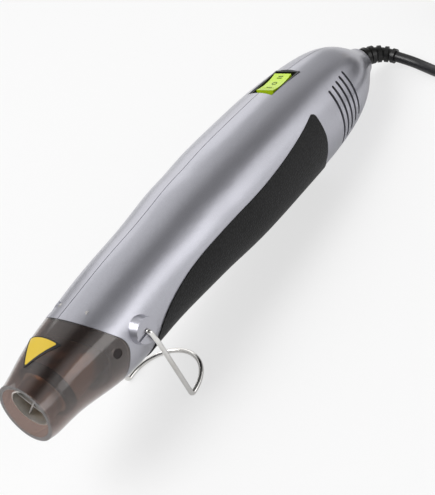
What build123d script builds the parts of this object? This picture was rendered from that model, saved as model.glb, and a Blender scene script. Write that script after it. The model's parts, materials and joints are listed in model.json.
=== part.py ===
"""Hand-held embossing heat tool with a wire stand, a rocker switch and a mains lead.

The tool is modelled along its own axis first: X runs from the mouth (0) to the tail, Z is up, and the seam
between the two housing shells is the plane Y = 0. At the end the whole tool is pitched nose up, as it rests
on its wire stand and on the belly of its tail, and set down on the plane Z = 0.
"""
from build123d import *
import math
import os

# Overall size and rest attitude
body_length = 243.0
body_radius = 24.3
rest_pitch = 11.5
overrun = 60.0

# Body outline: stations along the length, their radius and how far their centre sits above the axis
width_share = 0.966
station_shares = (0, 0.05, 0.105, 0.16, 0.22, 0.29, 0.37, 0.47, 0.58, 0.68, 0.77, 0.85, 0.905, 0.955, 1)
radius_shares = (0.535, 0.620, 0.716, 0.798, 0.842, 0.854, 0.893, 0.955, 1.0, 0.99, 0.955, 0.875, 0.755, 0.53, 0.29)
rise_shares = (-0.375, -0.312, -0.262, -0.250, -0.190, -0.108, -0.040, 0.026, 0.072, 0.114, 0.133, 0.148,
               0.163, 0.145, 0.118)

# Walls and clearances
shell_wall = 2.2
tail_wall = 2.4
cone_wall = 1.7
fit_gap = 0.15
running_gap = 0.05
seam_width = 0.3
seam_depth = 0.5

# Joint between cone and housing, seen from the side
joint_top = 29.5
joint_top_height = 12.8
joint_lobe = 41.9
joint_lobe_height = -4.4
joint_bottom = 36.6
joint_bottom_height = -25.5
joint_radius = 10.0
joint_gap = 0.2
tongue_length = 8.5
tongue_root = 5.0
tongue_wall = 1.5
peg_radius = 1.9
peg_setback = 6.4
peg_height = -5.6
rim_round = 0.7

# Grip inlays
grip_proud = 0.5
grip_depth = 1.2
grip_seam_gap = 0.3
grip_tip_radius = 1.8
grip_start = 53.5
grip_length = 125.5
grip_upper_shares = ((0, -1.3), (0.022, -0.634), (0.048, -0.428), (0.132, -0.148), (0.279, 0.07),
                     (0.564, 0.226), (0.856, 0.436), (0.99, 0.61))
grip_rear_shares = ((0.995, 0.1), (0.985, -0.4), (1.02, -0.75), (1.03, -1.3))

# Pivot bosses and wire stand
wire_radius = 1.0
pivot_x = 48.9
pivot_height = -4.3
boss_face = 22.5
boss_radius = 5.2
boss_draft = 1.1
pivot_hole_depth = 3.4
detent_depth = 0.6
detent_angle = 9.0
stand_gap = 0.3
stand_lean = 4.6
foot_half_width = 17.7
foot_run = 1.6
stand_bend = 1.4
stand_shoulder = 6.8

# Rocker switch
switch_x = 182.7
switch_length = 22.0
switch_width = 13.4
switch_top = 25.5
switch_depth = 15.0
switch_rim = 0.8
switch_well = 1.9
rocker_length = 14.5
rocker_foot_length = 10.4
rocker_width = 9.0
rocker_rise = 0.6
rocker_dish = 0.9
rocker_pivot_drop = 4.5
rocker_foot_drop = 1.8
rocker_shoulder = 1.0
rocker_chamber_drop = 3.2
rocker_pin_radius = 1.3
rocker_pin_length = 0.9
rocker_end_gap = 0.6
rocker_side_gap = 0.3
rocker_round = 0.5
terminal_width = 4.8
terminal_thickness = 0.8
terminal_length = 8.0
terminal_pitch = 6.4
terminal_count = 3

# Vent slots
vent_count = 5
vent_first = 194.1
vent_pitch = 3.85
vent_width = 1.5
vent_top = 15.6
vent_bottom = -10.8
vent_top_step = 0.25
vent_bottom_step = 1.5
vent_reach = 10.0

# Heater barrel, neck and what is in it, along a line that rises towards the tail
nose_rise = 5.2
nose_height = -9.2
neck_radius = 8.6
neck_start = 2.8
barrel_radius = 11.0
barrel_start = 15.5
barrel_end = 60.0
steel_wall = 0.5
flange_radius = 13.4
ring_width = 4.0
ring_start = 10.8
ring_radius = 12.1
ring_seat = 9.8
sleeve_wall = 0.4
sleeve_gap = 0.25
board_thickness = 0.6
board_margin = 1.5
board_half_width = 7.6
winding_wire = 0.4
winding_gap = 0.05
winding_turns = 9
winding_start = 21.0
winding_length = 30.6
disc_start = 56.0
disc_thickness = 1.2
disc_gap = 0.15
disc_vent_radius = 2.6
disc_vent_count = 6
disc_vent_share = 0.62
cutout_radius = 2.0
cutout_length = 9.0
cutout_gap = 0.1

# Fan, duct and motor, along the axis of the fan
fan_height = -0.6
duct_radius = 17.2
duct_wall = 1.0
duct_start = 76.0
duct_end = 95.0
duct_throat_start = 61.6
duct_throat_radius = 12.0
fan_start = 80.5
fan_width = 8.0
fan_gap = 0.8
fan_hub_radius = 5.5
blade_count = 7
blade_thickness = 1.1
blade_pitch = 32.0
shaft_radius = 1.0
shaft_overhang = 0.8
cradle_thickness = 2.0
cradle_arm = 4.0
cradle_plate_radius = 9.0
cradle_arms = 4
motor_radius = 12.2
motor_length = 30.0
motor_nose_radius = 3.2
motor_nose_length = 1.4
motor_cap_length = 4.2
motor_screw_pitch = 6.0
motor_screw_radius = 1.1
motor_screw_head = 2.1
motor_screw_head_height = 1.4
motor_screw_bite = 2.4

# Housing ribs and screws
rib_thickness = 1.8
rib_flange_gap = 0.2
rib_throat_gap = 0.6
duct_rib = 86.0
web_shares = (0.3, 0.8)
web_half_height = 5.0
screw_shank = 1.45
screw_head = 2.7
screw_head_height = 2.0
screw_grip = 3.4
screw_bite = 9.0
post_wall = 1.7
post_rim = 1.2
screw_shares = ((0.1539, 0.399), (0.2078, -0.823), (0.5416, 0.79), (0.5416, -0.716),
                (0.7572, -0.576), (0.9309, -0.243))

# Rectifier board
board_x = 136.0
board_length = 26.0
board_width = 24.0
board_height = -7.5
card_thickness = 1.6
ledge_length = 3.0
ledge_height = 1.6
ledge_overlap = 2.4
diode_radius = 1.4
diode_length = 5.0
diode_shares = ((0.25, -0.25), (0.25, 0.25), (0.5, -0.25), (0.5, 0.25))
capacitor_size = (5.0, 12.0, 9.0)
capacitor_share = 0.8

# Cord, strain relief and cord clamp
cord_radius = 2.5
relief_height = 3.2
relief_root = 4.85
relief_tip = 3.3
relief_neck = 3.9
relief_flange = 5.4
relief_flange_length = 2.0
relief_straight = 0.6
relief_bend = 11.6
relief_turn = 88.0
relief_drop = 18.0
relief_ribs = 6
relief_rib_share = 0.55
relief_groove = 0.7
relief_end = 1.6
relief_steps = 9
inner_cord_end = 204.0
clamp_x = 214.0
clamp_length = 7.0
clamp_strap = 1.8
clamp_reach = 8.2
clamp_screw = 1.1
clamp_screw_head = 2.0
clamp_post_radius = 2.4
clamp_bite = 6.0
saddle_half_height = 3.0

# Route of the free lead on the surface, from the strain relief to the coil: shares of its reach, and how
# much of the coil's lift it has taken on
lead_first_run = 8.0
lead_reach = 55.0
lead_lift = 0.05
lead_shares = ((-0.051, -0.304, 0.1), (-0.118, -0.465, 0), (-0.103, -0.674, 0), (0.009, -0.868, 0),
               (0.208, -0.977, 0), (0.515, -1.003, 0.3), (0.835, -0.998, 1), (1.155, -0.998, 1))

# Put-away coil in layers, its tie and the plug that lies on it
coil_pitch = 5.45
coil_edge_step = 3.66
coil_inner_radius = 17.0
coil_layer_half_turns = 4
coil_layers = 4
tie_width = 7.0
tie_wall = 0.8
tie_gap = 0.2
tie_side_gap = 0.3
tie_round = 2.0
tie_turn = -150.0
tail_bend = 20.5
tail_run = 5.0
plug_length = 26.0
plug_width = 20.0
plug_thickness = 13.0
plug_gap = 0.3
plug_neck_length = 9.0
plug_neck_wall = 1.0
plug_round = 3.0
blade_length = 17.0
blade_width = 6.3
blade_plate = 1.5
blade_spacing = 12.7

nodes = {}


def station(x, z):
    """Plane square to the axis at x, with its local x along Y and its local y up."""
    return Plane(origin=(x, 0, z), x_dir=(0, 1, 0), z_dir=(1, 0, 0))


def disc(x, z, radius, length, inner=0.0):
    """Round bar or ring along X from x, centred at height z."""
    ring = Circle(radius) - Circle(inner) if inner > 0 else Circle(radius)
    return extrude(station(x, z) * ring, length)


def cross_bar(x, y, z, radius, length):
    """Round bar along +Y from (x, y, z)."""
    return extrude(Plane(origin=(x, y, z), x_dir=(1, 0, 0), z_dir=(0, 1, 0)) * Circle(radius), length)


def slab(x_low, x_high, y_low, y_high, z_low, z_high):
    """Box between two corners."""
    box = Box(x_high - x_low, y_high - y_low, z_high - z_low)
    return Pos((x_low + x_high) / 2, (y_low + y_high) / 2, (z_low + z_high) / 2) * box


def body_form(inset=0.0):
    """The tool's outer form, drawn in by inset."""
    sections = []
    for along, radius, rise in zip(station_shares, radius_shares, rise_shares):
        tall = radius * body_radius - inset
        wide = width_share * radius * body_radius - inset
        sections.append(station(along * body_length, rise * body_radius) * Ellipse(wide, tall))
    return loft(sections)


def side_prism(face, reach=overrun):
    """Extrude a face drawn in the side view both ways along Y."""
    return extrude(Plane.XZ * face, reach, both=True)


def ahead_of_joint(shift=0.0):
    """Everything ahead of the curved joint line, moved along X by shift."""
    slope_top = (joint_lobe - joint_top) / (joint_top_height - joint_lobe_height)
    slope_low = (joint_lobe - joint_bottom) / (joint_lobe_height - joint_bottom_height)
    top = (joint_lobe - slope_top * overrun + shift, joint_lobe_height + overrun)
    lobe = (joint_lobe + shift, joint_lobe_height)
    low = (joint_lobe - slope_low * overrun + shift, joint_lobe_height - overrun)
    edge = FilletPolyline(top, lobe, low, radius=joint_radius)
    front = -overrun
    rest = Polyline(low, (front, low[1]), (front, top[1]), top)
    return side_prism(make_face(Wire(edge.edges() + rest.edges())))


def nose(piece):
    """Place a piece built along X on the line of the heater barrel."""
    return Pos(0, 0, nose_height) * Rot(0, -nose_rise, 0) * piece


def barrel_height(x):
    """Height of the heater barrel's line at x."""
    return nose_height + x * math.tan(math.radians(nose_rise))


# Forms that several pieces share
outer = body_form()
inner = body_form(shell_wall)
tail_inside = body_length - tail_wall
cavity = inner & slab(-overrun, tail_inside, -overrun, overrun, -overrun, overrun)
near_side = slab(-overrun, body_length + overrun, -overrun, 0, -overrun, overrun)
far_side = slab(-overrun, body_length + overrun, 0, overrun, -overrun, overrun)


def grip_point(along, up):
    """A point of the grip's side view, from shares of its length and of the body's radius."""
    return (grip_start + along * grip_length, up * body_radius)


def grip_region():
    """Side view of one grip inlay: a long curved upper edge, a small round tip and a steep rear edge."""
    upper = [grip_point(along, up) for along, up in grip_upper_shares]
    rear = [grip_point(along, up) for along, up in grip_rear_shares]
    edge = Spline(*upper)
    back = Polyline(upper[-1], *rear, upper[0])
    face = make_face(Wire(edge.edges() + back.edges()))
    tip = face.vertices().sort_by(Axis.Y)[-1]
    return fillet(tip, grip_tip_radius)


def both_sides(piece):
    """A piece with its mirror image on the other side of the seam."""
    return piece + mirror(piece, about=Plane.XZ)


# Housing: outer shell, tongue, bosses and openings
rib_root = body_form((grip_depth + shell_wall) / 2)
grip_prism = side_prism(grip_region())
recess = (outer - body_form(grip_depth)) & grip_prism
seam = slab(-overrun, body_length + overrun, -seam_width / 2, seam_width / 2, -overrun, overrun)
seam_groove = (outer - body_form(seam_depth)) & seam
tongue_skin = cone_wall + fit_gap
tongue = body_form(tongue_skin) - body_form(tongue_skin + tongue_wall)
tongue = (tongue & ahead_of_joint(tongue_root)) - ahead_of_joint(-tongue_length)
peg_x = joint_lobe - peg_setback
peg = cross_bar(peg_x, 0, peg_height, peg_radius, overrun)
peg_tip = body_form(joint_gap)
pegs = both_sides(peg & peg_tip) - body_form(tongue_skin + tongue_wall)


def boss():
    """Raised pivot boss of the far side, drafted towards its flat face."""
    base = boss_radius + boss_draft * boss_face / pivot_hole_depth / 2
    lean = Cone(base, boss_radius, boss_face, align=(Align.CENTER, Align.CENTER, Align.MIN))
    return Pos(pivot_x, 0, pivot_height) * Rot(-90, 0, 0) * lean


def boss_cuts():
    """Blind pivot hole and the forward detent groove of the far boss."""
    bottom = boss_face - pivot_hole_depth
    hole = cross_bar(pivot_x, bottom, pivot_height, wire_radius + running_gap, pivot_hole_depth)
    reach = boss_radius + boss_draft
    groove = slab(-reach, 0, boss_face - detent_depth, boss_face, -wire_radius, wire_radius)
    return hole + Pos(pivot_x, 0, pivot_height) * Rot(0, -detent_angle, 0) * groove


def vents():
    """Row of upright slots through the wall of the far side."""
    slots = []
    for count in range(vent_count):
        low = vent_bottom + count * vent_bottom_step
        high = vent_top + count * vent_top_step
        face = Pos(vent_first + count * vent_pitch, (low + high) / 2) * Rot(0, 0, 90) * \
            SlotOverall(high - low, vent_width)
        slots.append(Pos(0, vent_reach, 0) * extrude(Plane.XZ * face, -overrun))
    return Part() + slots


def housing():
    """Both shells in one piece, before the posts and ribs go in."""
    bosses = both_sides(boss()) - inner
    opening = Pos(switch_x, 0, switch_top) * Box(switch_length, switch_width, 2 * switch_depth)
    tail_hole = disc(tail_inside - shell_wall, relief_height, relief_neck, overrun)
    shell = outer - cavity - ahead_of_joint() + tongue + pegs + bosses
    return shell - recess - seam_groove - both_sides(boss_cuts()) - both_sides(vents()) - opening - tail_hole


# Ribs, webs and ledges inside the housing
def ribs():
    """Rings that hold the barrel's flange and the duct, webs beside the motor and ledges for the board."""
    flange_front = barrel_end - rib_flange_gap - rib_thickness
    flange_back = barrel_end + steel_wall + rib_flange_gap
    rings = nose(disc(flange_front, 0, overrun, rib_thickness, barrel_radius + fit_gap))
    rings += nose(disc(flange_back, 0, overrun, rib_thickness, duct_throat_radius + rib_throat_gap))
    rings += disc(duct_rib, fan_height, overrun, rib_thickness, duct_radius + fit_gap)
    webs = Part()
    for share in web_shares:
        start = motor_start + share * motor_length
        webs += slab(start, start + rib_thickness, -overrun, overrun,
                     fan_height - web_half_height, fan_height + web_half_height)
    webs -= disc(motor_start, fan_height, motor_radius + fit_gap, motor_length)
    ledges = Part()
    for start in (board_x, board_x + board_length - ledge_length):
        ledges += slab(start, start + ledge_length, board_width / 2 - ledge_overlap, overrun,
                       board_height - ledge_height, board_height)
    return (rings + webs + both_sides(ledges)) & rib_root


# Screw posts
def screw_places():
    """Places of the housing screws in the side view."""
    return [(along * body_length, up * body_radius) for along, up in screw_shares]


def near_posts():
    """Posts of the near shell that the screws bite into, and their pilot holes."""
    posts, pilots = Part(), Part()
    for x, z in screw_places():
        posts += cross_bar(x, -overrun, z, screw_shank + post_wall, overrun)
        pilots += cross_bar(x, -screw_bite, z, screw_shank, screw_bite)
    return posts & rib_root, pilots


def far_posts():
    """Counterbored posts of the far shell, and their holes."""
    posts, holes = Part(), Part()
    bore = screw_head + fit_gap
    for x, z in screw_places():
        posts += cross_bar(x, 0, z, bore + post_rim, overrun)
        holes += cross_bar(x, 0, z, screw_shank + fit_gap, screw_grip)
        holes += cross_bar(x, screw_grip, z, bore, overrun)
    return posts & rib_root, holes


def clamp_posts():
    """Saddle and two posts of the near shell that hold the cord clamp, and their pilot holes."""
    middle = clamp_x + clamp_length / 2
    saddle = slab(clamp_x, clamp_x + clamp_length, -overrun, -cord_radius,
                  relief_height - saddle_half_height, relief_height + saddle_half_height)
    posts, pilots = saddle, Part()
    for sign in (-1, 1):
        height = relief_height + sign * clamp_reach
        posts += cross_bar(middle, -overrun, height, clamp_post_radius, overrun + cord_radius)
        pilots += cross_bar(middle, cord_radius - clamp_bite, height, clamp_screw, clamp_bite)
    return posts & rib_root, pilots


def housing_screws():
    """Round-head screws in from the far side."""
    screws = Part()
    for x, z in screw_places():
        screws += cross_bar(x, -screw_bite, z, screw_shank, screw_bite + screw_grip)
        screws += cross_bar(x, screw_grip, z, screw_head, screw_head_height)
    return screws


motor_start = duct_end + cradle_thickness
whole = housing()
rib_work = ribs()
near_work, near_pilots = near_posts()
far_work, far_holes = far_posts()
clamp_work, clamp_pilots = clamp_posts()
nodes["housing_left"] = (whole & near_side) + (rib_work & near_side) + near_work + clamp_work \
    - near_pilots - clamp_pilots
nodes["housing_right"] = (whole & far_side) + (rib_work & far_side) + far_work - far_holes
nodes["housing_screws"] = housing_screws()


# Nose cone: a thin hood whose rear edge follows the joint, with holes for the pegs
cone = (outer - body_form(cone_wall)) & ahead_of_joint(-joint_gap)
nodes["nose_cone"] = cone - both_sides(cross_bar(peg_x, 0, peg_height, peg_radius + fit_gap, overrun))


# Grip inlays: proud of the shells, split a little at the seam
grip = (body_form(-grip_proud) - body_form(grip_depth)) & grip_prism
grip_slit = slab(-overrun, body_length + overrun, -grip_seam_gap / 2, grip_seam_gap / 2, -overrun, overrun)
nodes["grip_left"] = (grip & near_side) - grip_slit
nodes["grip_right"] = (grip & far_side) - grip_slit


# Steel outlet tube: neck, step, barrel and flange
def outlet_tube():
    """Thin steel tube with a narrow neck at the mouth, a seat for its ring and a flange at the back."""
    bore = neck_radius - steel_wall
    tube = disc(neck_start, 0, neck_radius, ring_start - neck_start, bore)
    tube += disc(ring_start, 0, ring_seat, barrel_start - ring_start, bore)
    tube += disc(barrel_start, 0, barrel_radius, steel_wall, bore)
    tube += disc(barrel_start, 0, barrel_radius, barrel_end - barrel_start, barrel_radius - steel_wall)
    return tube + disc(barrel_end, 0, flange_radius, steel_wall, barrel_radius - steel_wall)


def mica_board(turn, slot_front, slot_back):
    """One of the two crossed boards, with the slot that lets it slide over the other."""
    half = board_thickness / 2
    front = neck_start + board_margin
    board = slab(front, disc_start, -board_half_width, board_half_width, -half, half)
    slot = slab(slot_front, slot_back, -half, half, -half, half)
    return nose(Rot(turn, 0, 0) * (board - slot))


def winding_point(quarter, radius, pitch):
    """Point of the heating wire after a number of quarter turns."""
    angle = math.radians(90 * quarter + 45)
    return Vector(winding_start + pitch * quarter / 4, radius * math.cos(angle), radius * math.sin(angle))


def winding_path(radius):
    """Centre line of the heating wire round the crossed boards, as one chain of quarter-turn arcs."""
    pitch = winding_length / winding_turns
    half = math.pi / 4
    axial = pitch / (2 * math.pi) * half / math.tan(half) / radius
    tangent = Vector(axial, -math.sin(half), math.cos(half))
    arcs = []
    for quarter in range(4 * winding_turns):
        arc = TangentArc(winding_point(quarter, radius, pitch), winding_point(quarter + 1, radius, pitch),
                         tangent=tangent)
        tangent = arc % 1
        arcs.append(arc)
    return Wire(arcs)


def heating_winding():
    """Heating wire swept along its path."""
    start = Plane(origin=winding_run @ 0, z_dir=winding_run % 0)
    return nose(sweep(start * Circle(winding_wire), path=winding_run))


def mica_disc():
    """Disc behind the boards with a ring of vent holes and one in the middle."""
    radius = barrel_radius - steel_wall - disc_gap
    plate = disc(disc_start, 0, radius, disc_thickness, disc_vent_radius)
    for count in range(disc_vent_count):
        hole = Pos(0, disc_vent_share * radius, 0) * disc(disc_start, 0, disc_vent_radius, disc_thickness)
        plate -= Rot(360 * count / disc_vent_count, 0, 0) * hole
    return nose(plate)


middle_x = (neck_start + disc_start) / 2
sleeve_radius = barrel_radius - steel_wall - sleeve_gap
sleeve_start = barrel_start + 2 * steel_wall
cutout_offset = (cutout_radius + cutout_gap + board_thickness / 2) * math.sqrt(2)
winding_radius = board_half_width + winding_wire + winding_gap
winding_run = winding_path(winding_radius)
nodes["outlet_tube"] = nose(outlet_tube())
nodes["heat_ring"] = nose(disc(ring_start, 0, ring_radius, ring_width, ring_seat))
nodes["mica_sleeve"] = nose(disc(sleeve_start, 0, sleeve_radius, disc_start - sleeve_start,
                                 sleeve_radius - sleeve_wall))
nodes["mica_board_a"] = mica_board(45, middle_x, disc_start)
nodes["mica_board_b"] = mica_board(-45, 0, middle_x)
nodes["heating_winding"] = heating_winding()
nodes["mica_disc"] = mica_disc()
nodes["thermal_cutout"] = nose(disc(disc_start - cutout_length, cutout_offset, cutout_radius, cutout_length))


# Duct, fan and motor
def duct_form(shrink=0.0):
    """Round throat behind the barrel that widens to the fan, drawn in by shrink."""
    throat = Plane(origin=(duct_throat_start, 0, barrel_height(duct_throat_start)), x_dir=(0, 1, 0),
                   z_dir=(1, 0, 0)) * Circle(duct_throat_radius - shrink)
    wide = station(duct_start, fan_height) * Circle(duct_radius - shrink)
    return loft([throat, wide]) + disc(duct_start, fan_height, duct_radius - shrink, duct_end - duct_start)


def fan_impeller():
    """Axial fan: a hub and a ring of pitched blades."""
    tip = duct_radius - duct_wall - fan_gap
    middle = fan_start + fan_width / 2
    space = disc(fan_start, 0, tip, fan_width, fan_hub_radius / 2)
    blades = Part()
    for count in range(blade_count):
        blade = Pos(middle, 0, tip / 2) * Rot(0, 0, blade_pitch) * \
            Box(2 * fan_width, blade_thickness, tip)
        blades += Rot(360 * count / blade_count, 0, 0) * blade
    hub = disc(fan_start, 0, fan_hub_radius, fan_width)
    bore = disc(fan_start, 0, shaft_radius, fan_width)
    return Pos(0, 0, fan_height) * ((blades & space) + hub - bore)


def motor_cradle():
    """Plate in front of the motor with arms out to the duct's back edge."""
    plate = disc(duct_end, 0, cradle_plate_radius, cradle_thickness)
    for count in range(cradle_arms):
        arm = slab(duct_end, motor_start, -cradle_arm / 2, cradle_arm / 2, 0, duct_radius)
        plate += Rot(45 + 360 * count / cradle_arms, 0, 0) * arm
    plate &= disc(duct_end, 0, duct_radius, cradle_thickness)
    plate -= disc(duct_end, 0, motor_nose_radius + fit_gap, cradle_thickness)
    for sign in (-1, 1):
        plate -= disc(duct_end, sign * motor_screw_pitch, motor_screw_radius + fit_gap, cradle_thickness)
    return Pos(0, 0, fan_height) * plate


def motor_can():
    """Motor body with its front nose, shaft bore and two screw holes."""
    can = disc(motor_start, 0, motor_radius, motor_length)
    can += disc(motor_start - motor_nose_length, 0, motor_nose_radius, motor_nose_length)
    can -= disc(motor_start - motor_nose_length, 0, shaft_radius + running_gap, motor_length)
    for sign in (-1, 1):
        can -= disc(motor_start, sign * motor_screw_pitch, motor_screw_radius, motor_screw_bite)
    return Pos(0, 0, fan_height) * can


def motor_screws():
    """Two screws through the cradle into the motor's face."""
    screws = Part()
    for sign in (-1, 1):
        height = fan_height + sign * motor_screw_pitch
        screws += disc(duct_end, height, motor_screw_radius, cradle_thickness + motor_screw_bite)
        screws += disc(duct_end - motor_screw_head_height, height, motor_screw_head, motor_screw_head_height)
    return screws


shaft_start = fan_start - shaft_overhang
shaft_length = motor_start + motor_length / 2 - shaft_start
nodes["air_duct"] = duct_form() - duct_form(duct_wall)
nodes["fan_impeller"] = fan_impeller()
nodes["motor_shaft"] = disc(shaft_start, fan_height, shaft_radius, shaft_length)
nodes["motor_cradle"] = motor_cradle()
nodes["motor_can"] = motor_can()
nodes["motor_end_cap"] = disc(motor_start + motor_length, fan_height, motor_radius, motor_cap_length)
nodes["motor_screws"] = motor_screws()


# Rectifier board with its diodes and capacitor
def board_pieces():
    """Board on the ledges, the diodes and the capacitor on top of it."""
    top = board_height + card_thickness
    card = slab(board_x, board_x + board_length, -board_width / 2, board_width / 2, board_height, top)
    diodes = Part()
    for along, across in diode_shares:
        diodes += cross_bar(board_x + along * board_length, across * board_width - diode_length / 2,
                            top + diode_radius, diode_radius, diode_length)
    length, width, height = capacitor_size
    start = board_x + capacitor_share * board_length - length / 2
    return card, diodes, slab(start, start + length, -width / 2, width / 2, top, top + height)


nodes["rectifier_board"], nodes["diodes"], nodes["capacitor"] = board_pieces()


# Switch: frame with a sunk well and a chamber, three terminals and the rocker
pivot_z = switch_top - rocker_pivot_drop
frame_half = switch_length / 2 - fit_gap
frame_side = switch_width / 2 - fit_gap


def switch_body():
    """Frame with a shallow well on top and a chamber that the rocker swings in."""
    frame = slab(-frame_half, frame_half, -frame_side, frame_side, -switch_depth, 0)
    well_half, well_side = frame_half - switch_rim, frame_side - switch_rim
    frame -= slab(-well_half, well_half, -well_side, well_side, -switch_well, overrun)
    half, side = rocker_length / 2 + rocker_end_gap, rocker_width / 2 + rocker_side_gap
    frame -= slab(-half, half, -side, side, -rocker_pivot_drop - rocker_chamber_drop, overrun)
    pin = rocker_width / 2 + rocker_pin_length + fit_gap
    frame -= cross_bar(0, -pin, -rocker_pivot_drop, rocker_pin_radius + running_gap, 2 * pin)
    return Pos(switch_x, 0, switch_top) * frame


def rocker():
    """Rocker with a slightly hollow top, tapered below, on two short pins."""
    half, foot, top = rocker_length / 2, rocker_foot_length / 2, rocker_rise
    shoulder = rocker_shoulder - rocker_pivot_drop
    bottom = -rocker_pivot_drop - rocker_foot_drop
    hollow = ThreePointArc((-half, top), (0, top - rocker_dish), (half, top))
    rest = Polyline((half, top), (half, shoulder), (foot, bottom), (-foot, bottom), (-half, shoulder),
                    (-half, top))
    block = side_prism(make_face(Wire(hollow.edges() + rest.edges())), rocker_width / 2)
    pin = rocker_width / 2 + rocker_pin_length
    block += cross_bar(0, -pin, -rocker_pivot_drop, rocker_pin_radius, 2 * pin)
    return Pos(switch_x, 0, switch_top) * block


def switch_terminals():
    """Row of flat tabs under the switch."""
    tabs = Part()
    for count in range(terminal_count):
        x = (count - (terminal_count - 1) / 2) * terminal_pitch
        tabs += slab(x - terminal_thickness / 2, x + terminal_thickness / 2, -terminal_width / 2,
                     terminal_width / 2, -switch_depth - terminal_length, -switch_depth)
    return Pos(switch_x, 0, switch_top) * tabs


nodes["switch_body"] = switch_body()
nodes["rocker"] = rocker()
nodes["switch_terminals"] = switch_terminals()


# Strain relief: flange and neck in the tail wall, then a ribbed taper that bends to the near side
relief_sweep = relief_bend * math.radians(relief_turn)
relief_length = relief_straight + relief_sweep + relief_end
relief_side = Vector(0, -math.cos(math.radians(relief_drop)), -math.sin(math.radians(relief_drop)))


def relief_plane(along):
    """Plane square to the strain relief's path at a distance along it."""
    turn = min(max(along - relief_straight, 0), relief_sweep) / relief_bend
    tangent = Vector(math.cos(turn), 0, 0) + relief_side * math.sin(turn)
    ahead = relief_bend * math.sin(turn) + min(along, relief_straight)
    point = Vector(body_length + ahead, 0, relief_height) + relief_side * relief_bend * (1 - math.cos(turn))
    point += tangent * max(along - relief_straight - relief_sweep, 0)
    return Plane(origin=point, z_dir=tangent, x_dir=tangent.cross(relief_side.cross(Vector(1, 0, 0))))


def relief_radius(along):
    """Radius of the ribs at a distance along the strain relief."""
    return relief_root + (relief_tip - relief_root) * along / relief_length


def strain_relief():
    """Flange, neck, tapered core and its ribs."""
    piece = disc(tail_inside - relief_flange_length, relief_height, relief_flange, relief_flange_length)
    piece += disc(tail_inside, relief_height, relief_neck, tail_wall)
    places = [relief_length * step / relief_steps for step in range(relief_steps + 1)]
    piece += loft([relief_plane(place) * Circle(relief_radius(place) - relief_groove) for place in places])
    pitch = relief_length / relief_ribs
    for count in range(relief_ribs):
        place = (count + (1 - relief_rib_share) * count / (relief_ribs - 1)) * pitch
        ring = relief_plane(place) * Circle(relief_radius(place))
        piece += extrude(ring, relief_rib_share * pitch)
    return piece


nodes["strain_relief"] = strain_relief()


# Cord inside the tail, its clamp and the clamp's screws
def cord_clamp():
    """Strap across the cord, with a hole for each screw."""
    middle = clamp_x + clamp_length / 2
    reach = clamp_reach + clamp_post_radius
    strap = slab(clamp_x, clamp_x + clamp_length, cord_radius, cord_radius + clamp_strap,
                 relief_height - reach, relief_height + reach)
    screws = Part()
    for sign in (-1, 1):
        height = relief_height + sign * clamp_reach
        strap -= cross_bar(middle, 0, height, clamp_screw + fit_gap, overrun)
        screws += cross_bar(middle, cord_radius - clamp_bite, height, clamp_screw, clamp_bite + clamp_strap)
        screws += cross_bar(middle, cord_radius + clamp_strap, height, clamp_screw_head, clamp_strap)
    return strap, screws


flange_face = tail_inside - relief_flange_length
nodes["inner_cord"] = disc(inner_cord_end, relief_height, cord_radius, flange_face - inner_cord_end)
nodes["cord_clamp"], nodes["clamp_screws"] = cord_clamp()


# Rest attitude: pitch everything nose up and stand its lowest point on the surface
pitched = {name: Rot(0, rest_pitch, 0) * piece for name, piece in nodes.items()}
lowest = min(piece.bounding_box().min.Z for piece in pitched.values())
level = {name: Pos(0, 0, -lowest) * piece for name, piece in pitched.items()}


def set_level(point):
    """Where a point of the tool lies once it is pitched and stood on the surface."""
    return (Pos(0, 0, -lowest) * Rot(0, rest_pitch, 0) * Pos(*point)).position


# Wire stand: two pins, two legs and a level round foot
def stand_wire():
    """One bent wire from the near pivot round the foot to the far pivot."""
    pivot = set_level((pivot_x, 0, pivot_height))
    drop = pivot.Z - wire_radius
    foot_x = pivot.X + drop * math.tan(math.radians(stand_lean))
    leg_y = boss_face + stand_gap + wire_radius
    pin_y = boss_face - pivot_hole_depth + stand_gap
    knee_x = pivot.X + stand_shoulder * math.sin(math.radians(stand_lean))
    knee_z = pivot.Z - stand_shoulder * math.cos(math.radians(stand_lean))
    round_x = foot_x + foot_run
    side = FilletPolyline((pivot.X, -pin_y, pivot.Z), (pivot.X, -leg_y, pivot.Z), (knee_x, -leg_y, knee_z),
                          (foot_x, -foot_half_width, wire_radius), (round_x, -foot_half_width, wire_radius),
                          radius=stand_bend)
    foot = ThreePointArc((round_x, -foot_half_width, wire_radius), (round_x + foot_half_width, 0, wire_radius),
                         (round_x, foot_half_width, wire_radius))
    other = mirror(side, about=Plane.XZ)
    path = Wire(side.edges() + foot.edges() + other.edges())
    start = Plane(origin=(pivot.X, -pin_y, pivot.Z), z_dir=(0, -1, 0))
    return sweep(start * Circle(wire_radius), path=path)


level["stand_wire"] = stand_wire()
boxes = [piece.bounding_box() for piece in level.values()]
centre_x = (min(box.min.X for box in boxes) + max(box.max.X for box in boxes)) / 2
centre_y = (min(box.min.Y for box in boxes) + max(box.max.Y for box in boxes)) / 2
placed = {name: Pos(-centre_x, -centre_y, 0) * piece for name, piece in level.items()}


def to_part(point):
    """Where a point of the tool lies in the part's own frame."""
    return set_level(point) - Vector(centre_x, centre_y, 0)


# Free lead on the surface
coil_height = cord_radius + tie_gap + tie_wall
relief_end_plane = relief_plane(relief_length)
lead_start = to_part(relief_end_plane.origin)
lead_heading = to_part(relief_end_plane.origin + relief_end_plane.z_dir) - lead_start
table_height = cord_radius + lead_lift
route = [lead_start, lead_start + lead_heading * lead_first_run]
for ahead, across, lift in lead_shares:
    route.append(Vector(lead_start.X + ahead * lead_reach, lead_start.Y + across * lead_reach,
                        table_height + lift * (coil_height - table_height)))


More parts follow.
